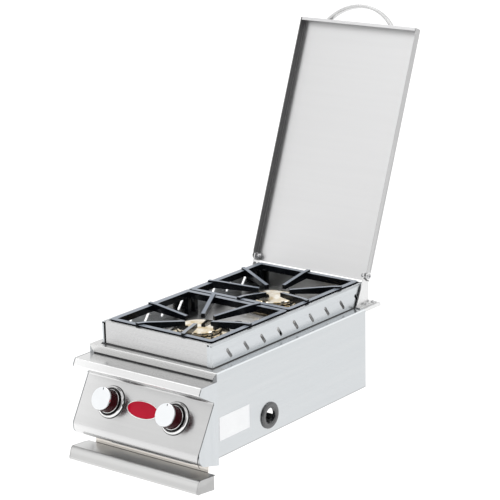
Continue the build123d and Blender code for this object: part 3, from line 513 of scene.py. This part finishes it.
for side in SIDES:
    place = knob_frame(side)
    knob = piece(f"knob_grip_{side}", lathe(grip_profile, looped=True), maroon, f"knob_{side}", place)
    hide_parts(f"knob_skirt_{side}")
    trim = piece(f"knob_trim_{side}", lathe(trim_profile, looped=True), chrome, f"knob_{side}", place)
    face = piece(f"knob_disc_{side}", lathe(disc_profile), disc_steel, f"knob_{side}", place)
    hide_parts(f"knob_face_{side}")
    ring = piece(f"knob_ring_{side}", lathe(bezel_profile, looped=True), chrome, "housing", place)
    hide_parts(f"knob_bezel_{side}")
    gasket = piece(f"knob_gasket_{side}", lathe(gasket_profile, looped=True), black, "housing", place)
for side in SIDES:
    mark = piece(f"knob_mark_{side}", capsule(mark_length, mark_width, mark_height), black, f"knob_{side}",
                 knob_frame(side) @ mark_place)

# Badge: a blank domed oval in a rounded rim
badge_place = knob_frame("left")
badge_place.translation = (Vector(joints["knob_turn_left"]["pos_m"])
                           + Vector(joints["knob_turn_right"]["pos_m"])) / 2
badge_foot = 0.05
rim_half, rim_half_height = 40, 17
dome_half, dome_half_height = 39.9, 16.9
dome_edge, dome_rise = 1.15, 0.75
dome_steps = 9
rows = [oval(dome_half, dome_half_height, badge_foot)]
for k in range(dome_steps):
    share = 1 - k / dome_steps
    level = dome_edge + dome_rise * (1 - share * share)
    rows.append(oval(dome_half * share, dome_half_height * share, level))
badge = piece("badge_dome", skin(rows, capped=True), enamel, "housing", badge_place)
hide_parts("badge_plate")
rim_profile = ring_profile(
    [(0, badge_foot), (2.0, badge_foot), (2.0, 1.5), (1.0, 2.2), (0, 1.6)],
    [0.1, 0.2, 0.6, 0.6, 0.4])
rows = [oval(rim_half + out, rim_half_height + out, level) for out, level in rim_profile]
rim = piece("badge_border", skin(rows, looped=True), chrome, "housing", badge_place)
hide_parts("badge_rim")

# Gas line grommet: rounded lips inside and outside the side panel
grommet_low, grommet_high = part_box("gas_line_grommet")
grommet_place = (grommet_low + grommet_high) / 2
grommet_place.x = side_high.x
grommet_bore, groove_radius, lip_radius = 16.5, 22.0, 28.5
groove_back, groove_front = -1.55, 0.05
grommet_profile = ring_profile(
    [(grommet_bore, -4.5), (27.2, -4.5), (lip_radius, groove_back), (groove_radius, groove_back),
     (groove_radius, groove_front), (lip_radius, groove_front), (28.2, 2.6), (25.4, 5.0), (19.2, 5.0),
     (grommet_bore, 2.8)],
    [0.8, 1.2, 0.4, 0.1, 0.1, 0.4, 1.2, 1.8, 1.6, 1.2])
grommet = piece("grommet", lathe(grommet_profile, looped=True), sleeve, "housing",
                frame_of(grommet_place, (1, 0, 0)))
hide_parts("gas_line_grommet")


# Hinge pivots and screws
def hex_cap(radius, base, height, segments=48):
    """Hexagon with a domed cap."""
    chamfer = 0.3
    rows = []
    for share, level in ((1.0, 0.0), (1.0, base), (0.93, base + chamfer)):
        row = []
        for i in range(segments):
            angle = 2 * math.pi * i / segments
            flat = math.cos(math.pi / 6) / math.cos((angle % (math.pi / 3)) - math.pi / 6)
            reach = radius * share * flat * MM
            row.append((reach * math.cos(angle), reach * math.sin(angle), level * MM))
        rows.append(row)
    dome = height - base - chamfer
    steps = 8
    for k in range(steps):
        angle = math.pi / 2 * k / steps
        reach = radius * 0.84 * math.cos(angle)
        rows.append(oval(reach, reach, base + chamfer + dome * math.sin(angle), segments))
    return skin(rows, capped=True)


FASTENER_SEGMENTS = 48
pivot = Vector(joints["lid_hinge"]["pos_m"])
nut_low, nut_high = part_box("hinge_nuts")
nut_radius = (nut_high.y - nut_low.y) / 2 / MM
nut_face = nut_high.x
nut_height, nut_hex = 11.0, 5.0
shank = (lid_edge - nut_face) / MM + nut_height / 2
shank_radius, bolt_radius, bolt_height = 3.0, 6.0, 3.5
socket_radius, socket_floor = 2.6, 1.4
bolt_profile = round_corners(
    [(0, -shank), (shank_radius, -shank), (shank_radius, 0), (bolt_radius, 0), (bolt_radius, 2.4),
     (4.4, bolt_height), (socket_radius, bolt_height), (socket_radius, socket_floor), (0, socket_floor)],
    [0, 0.4, 0.1, 0.2, 0.9, 0.9, 0.3, 0.1, 0])
washer_bore, washer_radius, washer_height = 6.1, 8.6, 1.1
washer_profile = ring_profile(
    [(washer_bore, CLEAR), (washer_radius, CLEAR), (washer_radius, washer_height),
     (washer_bore, washer_height)],
    [0.1, 0.2, 0.4, 0.2])
for side, sign in (("left", -1), ("right", 1)):
    axis = Vector((sign, 0, 0))
    outer = frame_of(Vector((sign * lid_edge, pivot.y, pivot.z)), axis)
    inner = frame_of(Vector((sign * nut_face, pivot.y, pivot.z)), -axis)
    bolt = piece(f"hinge_bolt_{side}", lathe(bolt_profile, FASTENER_SEGMENTS), bolt_steel, "lid", outer)
    washer = piece(f"hinge_washer_{side}", lathe(washer_profile, FASTENER_SEGMENTS, looped=True), chrome,
                   "lid", outer)
    nut = piece(f"hinge_nut_{side}", hex_cap(nut_radius, nut_hex, nut_height), bolt_steel, "lid", inner,
                smooth=30)
    if side == "left":
        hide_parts("hinge_bolts")
        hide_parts("hinge_nuts")

SCREW_RADIUS, SCREW_HEIGHT = 4.2, 2.4
RECESS = Matrix.Diagonal((4.6 * MM, 0.9 * MM, 2.4 * MM, 1))


def cross_screw(name, seat, body):
    """Pan head with a cross recess, standing on its seat along Z."""
    head = round_corners(
        [(0, CLEAR), (SCREW_RADIUS, CLEAR), (SCREW_RADIUS, 0.9), (2.6, 2.2), (0, SCREW_HEIGHT)],
        [0, 0.1, 0.8, 1.2, 0])
    obj = piece(name, lathe(head, 40), bolt_steel, body, Matrix.Translation(seat))
    top = Matrix.Translation(seat + Vector((0, 0, SCREW_HEIGHT * MM)))
    cutters = []
    for k in range(2):
        cut = bmesh.new()
        bmesh.ops.create_cube(cut, size=1.0)
        mesh = bpy.data.meshes.new("recess")
        cut.to_mesh(mesh)
        cut.free()
        mesh.transform(top @ Matrix.Rotation(math.pi / 2 * k, 4, "Z") @ RECESS)
        cutter = bpy.data.objects.new("recess", mesh)
        scene.collection.objects.link(cutter)
        cutters.append(cutter)
        modifier = obj.modifiers.new("recess", "BOOLEAN")
        modifier.operation = "DIFFERENCE"
        modifier.object = cutter
    graph = bpy.context.evaluated_depsgraph_get()
    cut_mesh = bpy.data.meshes.new_from_object(obj.evaluated_get(graph))
    obj.modifiers.clear()
    obj.data = cut_mesh
    for cutter in cutters:
        bpy.data.objects.remove(cutter)
    return obj


screw_low, screw_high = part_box("bracket_screws")
screw_inset = SCREW_RADIUS * MM
foot_level = screw_high.z - SCREW_HEIGHT * MM
screw_spots = [(x, y) for x in (screw_low.x + screw_inset, screw_high.x - screw_inset)
               for y in (screw_low.y + screw_inset, screw_high.y - screw_inset)]
for count, (x, y) in enumerate(screw_spots):
    screw = cross_screw(f"foot_screw_{count}", Vector((x, y, foot_level)), "housing")
    if count == 0:
        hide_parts("bracket_screws")

# Dark bead along the foot of the surround: a painted shadow line where the wall meets the flange
bead_section = ((0.0, CLEAR), (2.6, CLEAR), (1.7, 0.6), (0.7, 1.4), (0.0, 2.2))
wall_low, wall_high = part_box("surround_side_right")
corners = [(wall_high.x, wall_high.y), (wall_high.x, wall_low.y), (-wall_high.x, wall_low.y),
           (-wall_high.x, wall_high.y)]
directions = [(1, 0), (1, -1), (-1, -1), (-1, 0)]
rows = [[(x + dx * out * MM, y + dy * out * MM, wall_low.z + level * MM) for out, level in bead_section]
        for (x, y), (dx, dy) in zip(corners, directions)]
piece("surround_shadow_bead", skin(rows, capped=True), rubber, "housing")

# Dark strip in the gap between the front lip and the ledge: painted shade for that shaded gap
flange_low, flange_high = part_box("front_flange")
flange_sheet = 1.5
gap_strip_half = flange_high.x - 11 * MM
gap_strip_section = ((-0.1, -0.3), (1.0, -0.3), (1.3, 0.3), (1.3, 1.7), (0.9, 2.2), (-0.1, 2.2))
rows = [[(x, flange_low.y + (flange_sheet - out) * MM, ledge_top + level * MM) for out, level in gap_strip_section]
        for x in (-gap_strip_half, gap_strip_half)]
piece("lip_gap_shade", skin(rows, capped=True), rubber, "housing")

# Front strip of the tray, leaning back a little, and the dark joint at its foot
strip_low, strip_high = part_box("tray_front")
strip_sheet = strip_high.y - strip_low.y
strip_height = strip_high.z - strip_low.z
strip_lean = 2.6 * MM
strip_section = ((0, 0), (strip_sheet, 0), (strip_sheet + strip_lean, 1), (strip_lean + 0.3 * MM, 1),
                 (strip_lean, 0.97), (0.05 * strip_lean, 0.05))
joint_section = ((-0.05, 2.2), (0.7, 2.2), (0.65, 2.5), (0.35, 2.75), (-0.05, 2.8))
strip_ends = (strip_low.x, strip_high.x)
rows = [[(x, strip_low.y + back, strip_low.z + share * strip_height) for back, share in strip_section]
        for x in strip_ends]
facing = piece("tray_facing", skin(rows, capped=True), steel_strip, "drip_tray")
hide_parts("tray_front")
rows = [[(x, strip_low.y - out * MM, strip_low.z + level * MM) for out, level in joint_section]
        for x in strip_ends]
piece("tray_joint", skin(rows, capped=True), rubber, "drip_tray")

# Dark joint between the control panel's sheet and its right end cap, down the face and on the lip
normal = Vector(joints["knob_turn_left"]["axis"]).normalized()
down = Vector((0, -normal.z, normal.y))
knob_seat = Vector(joints["knob_turn_left"]["pos_m"])
panel_corner = Vector((panel_half, knob_seat.y, knob_seat.z))
face_up, face_down = 50.0, 61.5         # flat face above and below the knobs' axes
face_round = 22.0
face_turn = 75                          # degrees of the rounded foot that the joint follows
lip_reach = 54.1                        # lip in front of the face
joint_steps = 8
face_path = []
for step in range(joint_steps + 1):
    face_path.append((down * ((face_down + face_up) * step / joint_steps - face_up) * MM, normal))
turn_centre = down * face_down * MM - normal * face_round * MM
for step in range(1, joint_steps + 1):
    angle = math.radians(face_turn) * step / joint_steps
    out = normal * math.cos(angle) + down * math.sin(angle)
    face_path.append((turn_centre + out * face_round * MM, out))
lip_out = normal * lip_reach * MM
lip_path = [(lip_out - down * (face_up + rise) * MM, normal) for rise in (1.0, 8.0, 15.0)]
groove_section = ((-0.3, -0.6), (-0.3, 0.15), (0.2, 0.3), (0.9, 0.15), (0.9, -0.6))
for name, path in (("panel_joint_face", face_path), ("panel_joint_lip", lip_path)):
    rows = [[panel_corner + spot + Vector((across * MM, 0, 0)) + out * level * MM
             for across, level in groove_section] for spot, out in path]
    piece(name, skin(rows, capped=True), rubber, "housing")

# Floor, light and camera
FLOOR_LEVEL, FLOOR_HALF = -0.92, 60
FLOOR_GLOW = 0.28
floor_bm = bmesh.new()
bmesh.ops.create_grid(floor_bm, x_segments=1, y_segments=1, size=FLOOR_HALF)
floor_mesh = bpy.data.meshes.new("floor")
floor_bm.to_mesh(floor_mesh)
floor_bm.free()
floor = bpy.data.objects.new("floor", floor_mesh)
floor.location.z = FLOOR_LEVEL
scene.collection.objects.link(floor)


def floor_material():
    """Pale floor that shows as white to the camera and in reflections, and keeps the shadow."""
    material = bpy.data.materials.new("pale_floor")
    material.use_nodes = True
    tree = material.node_tree
    shader = tree.nodes["Principled BSDF"]
    shader.inputs["Base Color"].default_value = (0.86, 0.86, 0.86, 1)
    shader.inputs["Roughness"].default_value = 0.9
    shader.inputs["Emission Color"].default_value = (1, 1, 1, 1)
    paths = tree.nodes.new("ShaderNodeLightPath")
    straight = tree.nodes.new("ShaderNodeMath")
    straight.operation = "MAXIMUM"
    tree.links.new(paths.outputs["Is Camera Ray"], straight.inputs[0])
    tree.links.new(paths.outputs["Is Transmission Ray"], straight.inputs[1])
    seen = tree.nodes.new("ShaderNodeMath")
    seen.operation = "MAXIMUM"
    tree.links.new(straight.outputs[0], seen.inputs[0])
    tree.links.new(paths.outputs["Is Glossy Ray"], seen.inputs[1])
    glow = tree.nodes.new("ShaderNodeMath")
    glow.operation = "MULTIPLY"
    glow.inputs[1].default_value = FLOOR_GLOW
    tree.links.new(seen.outputs[0], glow.inputs[0])
    tree.links.new(glow.outputs[0], shader.inputs["Emission Strength"])
    return material


floor.data.materials.append(floor_material())
DARK_SIDE = Vector((0.60, -0.75, 0.28)).normalized()
DARK_RIM, DARK_CORE = 0.80, 0.97        # cosines of the angle from the dark side's middle
DARK_LEVEL = 0.22


def studio_world():
    """White room. Metal also sees its one dark side, where the room is open."""
    world = bpy.data.worlds.new("studio")
    world.use_nodes = True
    tree = world.node_tree
    background = tree.nodes["Background"]
    dot = tree.nodes.new("ShaderNodeVectorMath")
    dot.operation = "DOT_PRODUCT"
    dot.inputs[1].default_value = DARK_SIDE
    tree.links.new(tree.nodes.new("ShaderNodeTexCoord").outputs["Generated"], dot.inputs[0])
    shade = tree.nodes.new("ShaderNodeMapRange")
    shade.interpolation_type = "SMOOTHSTEP"
    shade.inputs["From Min"].default_value = DARK_RIM
    shade.inputs["From Max"].default_value = DARK_CORE
    shade.inputs["To Min"].default_value = 1.0
    shade.inputs["To Max"].default_value = DARK_LEVEL
    tree.links.new(dot.outputs["Value"], shade.inputs["Value"])
    seen = tree.nodes.new("ShaderNodeMix")
    seen.data_type = "FLOAT"
    paths = tree.nodes.new("ShaderNodeLightPath")
    tree.links.new(paths.outputs["Is Glossy Ray"], seen.inputs["Factor"])
    seen.inputs[2].default_value = 1.0
    tree.links.new(shade.outputs["Result"], seen.inputs[3])
    tree.links.new(seen.outputs[0], background.inputs["Strength"])
    background.inputs["Color"].default_value = (1, 1, 1, 1)
    scene.world = world


studio_world()


def softbox(name, place, target, size, power):
    data = bpy.data.lights.new(name, "AREA")
    data.shape = "SQUARE"
    data.size = size
    data.energy = power
    lamp = bpy.data.objects.new(name, data)
    lamp.location = place
    lamp.rotation_euler = (Vector(target) - Vector(place)).to_track_quat("-Z", "Y").to_euler()
    scene.collection.objects.link(lamp)


softbox("key", (-1.9, -1.7, 3.8), (0, 0, 0.1), size=2.0, power=20)
softbox("overhead", (1.2, 1.4, 3.2), (0, 0, 0), size=1.8, power=14)

CAMERA_PLACE = (2.51446, -3.15356, 1.28975)
CAMERA_RIGHT = (0.79180, 0.61048, -0.01913)
CAMERA_UP = (-0.14900, 0.22344, 0.96326)
CAMERA_BACK = (0.59233, -0.75986, 0.26788)
camera_data = bpy.data.cameras.new("camera")
camera_data.sensor_width = 36
camera_data.lens = 142.37
camera = bpy.data.objects.new("camera", camera_data)
camera_axes = Matrix((CAMERA_RIGHT, CAMERA_UP, CAMERA_BACK)).transposed()
camera.matrix_world = Matrix.Translation(CAMERA_PLACE) @ camera_axes.to_4x4()
scene.collection.objects.link(camera)
scene.camera = camera
scene.view_settings.view_transform = "Standard"
